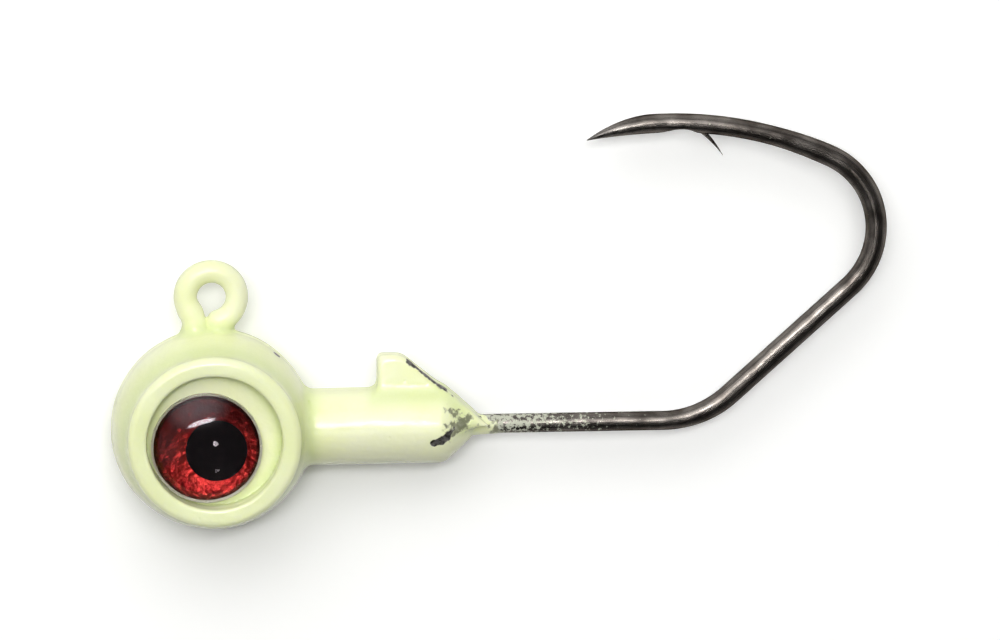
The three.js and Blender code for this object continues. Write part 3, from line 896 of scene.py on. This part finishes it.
white, tree, shader = new_finish("white_table")
feed(tree, shader, Base_Color=mixed(tree, looked_at(tree), (0.44, 0.44, 0.42), (1.125, 1.125, 1.11)))
shader.inputs["Roughness"].default_value = 1.0
shader.inputs["Specular IOR Level"].default_value = 0.0
table_mesh.materials.append(white)

room = bpy.data.worlds.new("room")
scene.world = room
room.use_nodes = True
tree = room.node_tree
toward = put(tree, "ShaderNodeSeparateXYZ", {
    0: put(tree, "ShaderNodeTexCoord").outputs["Generated"]}).outputs
# The room is pale low down and dim overhead, where the lamps take over
strength = ranged(tree, toward["Z"], 0.22, 0.60, 1.0, 0.10, eased=True)
strength = maths(tree, "MULTIPLY", strength, ranged(tree, looked_at(tree), 0.0, 1.0, 0.78, 1.0))
# It is brighter on the window's side
side_light = ranged(tree, toward["Y"], -0.5, 0.3, 0.3, 1.0, eased=True)
side_light = maths(tree, "MAXIMUM", side_light,
                   put(tree, "ShaderNodeLightPath").outputs["Is Camera Ray"])
strength = maths(tree, "MULTIPLY", strength, side_light)
tree.nodes["Background"].inputs["Color"].default_value = (1, 1, 1, 1)
tree.links.new(strength, tree.nodes["Background"].inputs["Strength"])

LAMP_AWAY = 0.5


def soft_lamp(name, sideways, forward, long_side, short_side, level, core=None, peak=1.0):
    """A lit panel half a metre off, leaning from overhead by degrees along X and Y."""
    lean = Vector((math.tan(math.radians(sideways)), math.tan(math.radians(forward)), 1)).normalized()
    data = bpy.data.lights.new(name, "AREA")
    data.shape = "RECTANGLE"
    data.size, data.size_y = long_side, short_side
    data.energy = level * math.pi ** 2 * LAMP_AWAY ** 2 / lean.z
    if core is not None:  # a diffuser, brightest in its core and dark at its edge
        data.use_nodes = True
        tree = data.node_tree
        spot = put(tree, "ShaderNodeNewGeometry").outputs["Parametric"]
        spot = vectors(tree, "SUBTRACT", spot, (0.5, 0.5, 0.0))
        away_from = put(tree, "ShaderNodeVectorMath", {0: spot}, operation="LENGTH").outputs["Value"]
        glow = ranged(tree, away_from, core, 0.5, peak, 0.0, eased=True)
        tree.links.new(glow, tree.nodes["Emission"].inputs["Strength"])
    lamp = bpy.data.objects.new(name, data)
    scene.collection.objects.link(lamp)
    lamp.location = middle + lean * LAMP_AWAY
    lamp.rotation_euler = lean.to_track_quat("Z", "Y").to_euler()


soft_lamp("window_light", -11, 33, 0.78, 0.58, level=0.79, core=0.05, peak=2.3)
soft_lamp("tube_light", -4.9, 14.4, 0.29, 0.064, level=0.54, core=0.30, peak=1.35)
soft_lamp("far_bulb", 5.2, -7.8, 0.034, 0.028, level=0.030)
soft_lamp("low_bulb", 8.8, -30, 0.03, 0.03, level=0.004)
soft_lamp("left_wall", -42, -12, 0.50, 0.60, level=0.07, core=0.05, peak=2.3)

CAMERA_AWAY = 0.30
camera_data = bpy.data.cameras.new("camera")
camera_data.lens = 198
camera_data.sensor_width = 36
camera_data.clip_start = 0.01
camera_data.clip_end = 10
camera = bpy.data.objects.new("camera", camera_data)
scene.collection.objects.link(camera)
scene.camera = camera
look_from = Vector((-0.082, 0.19, 0.98)).normalized()
across = Vector((0, 1, 0)).cross(look_from).normalized()
upward = look_from.cross(across)
camera.matrix_world = (Matrix.Translation(middle + look_from * CAMERA_AWAY)
                       @ Matrix((across, upward, look_from)).transposed().to_4x4())
scene.view_settings.view_transform = "Standard"
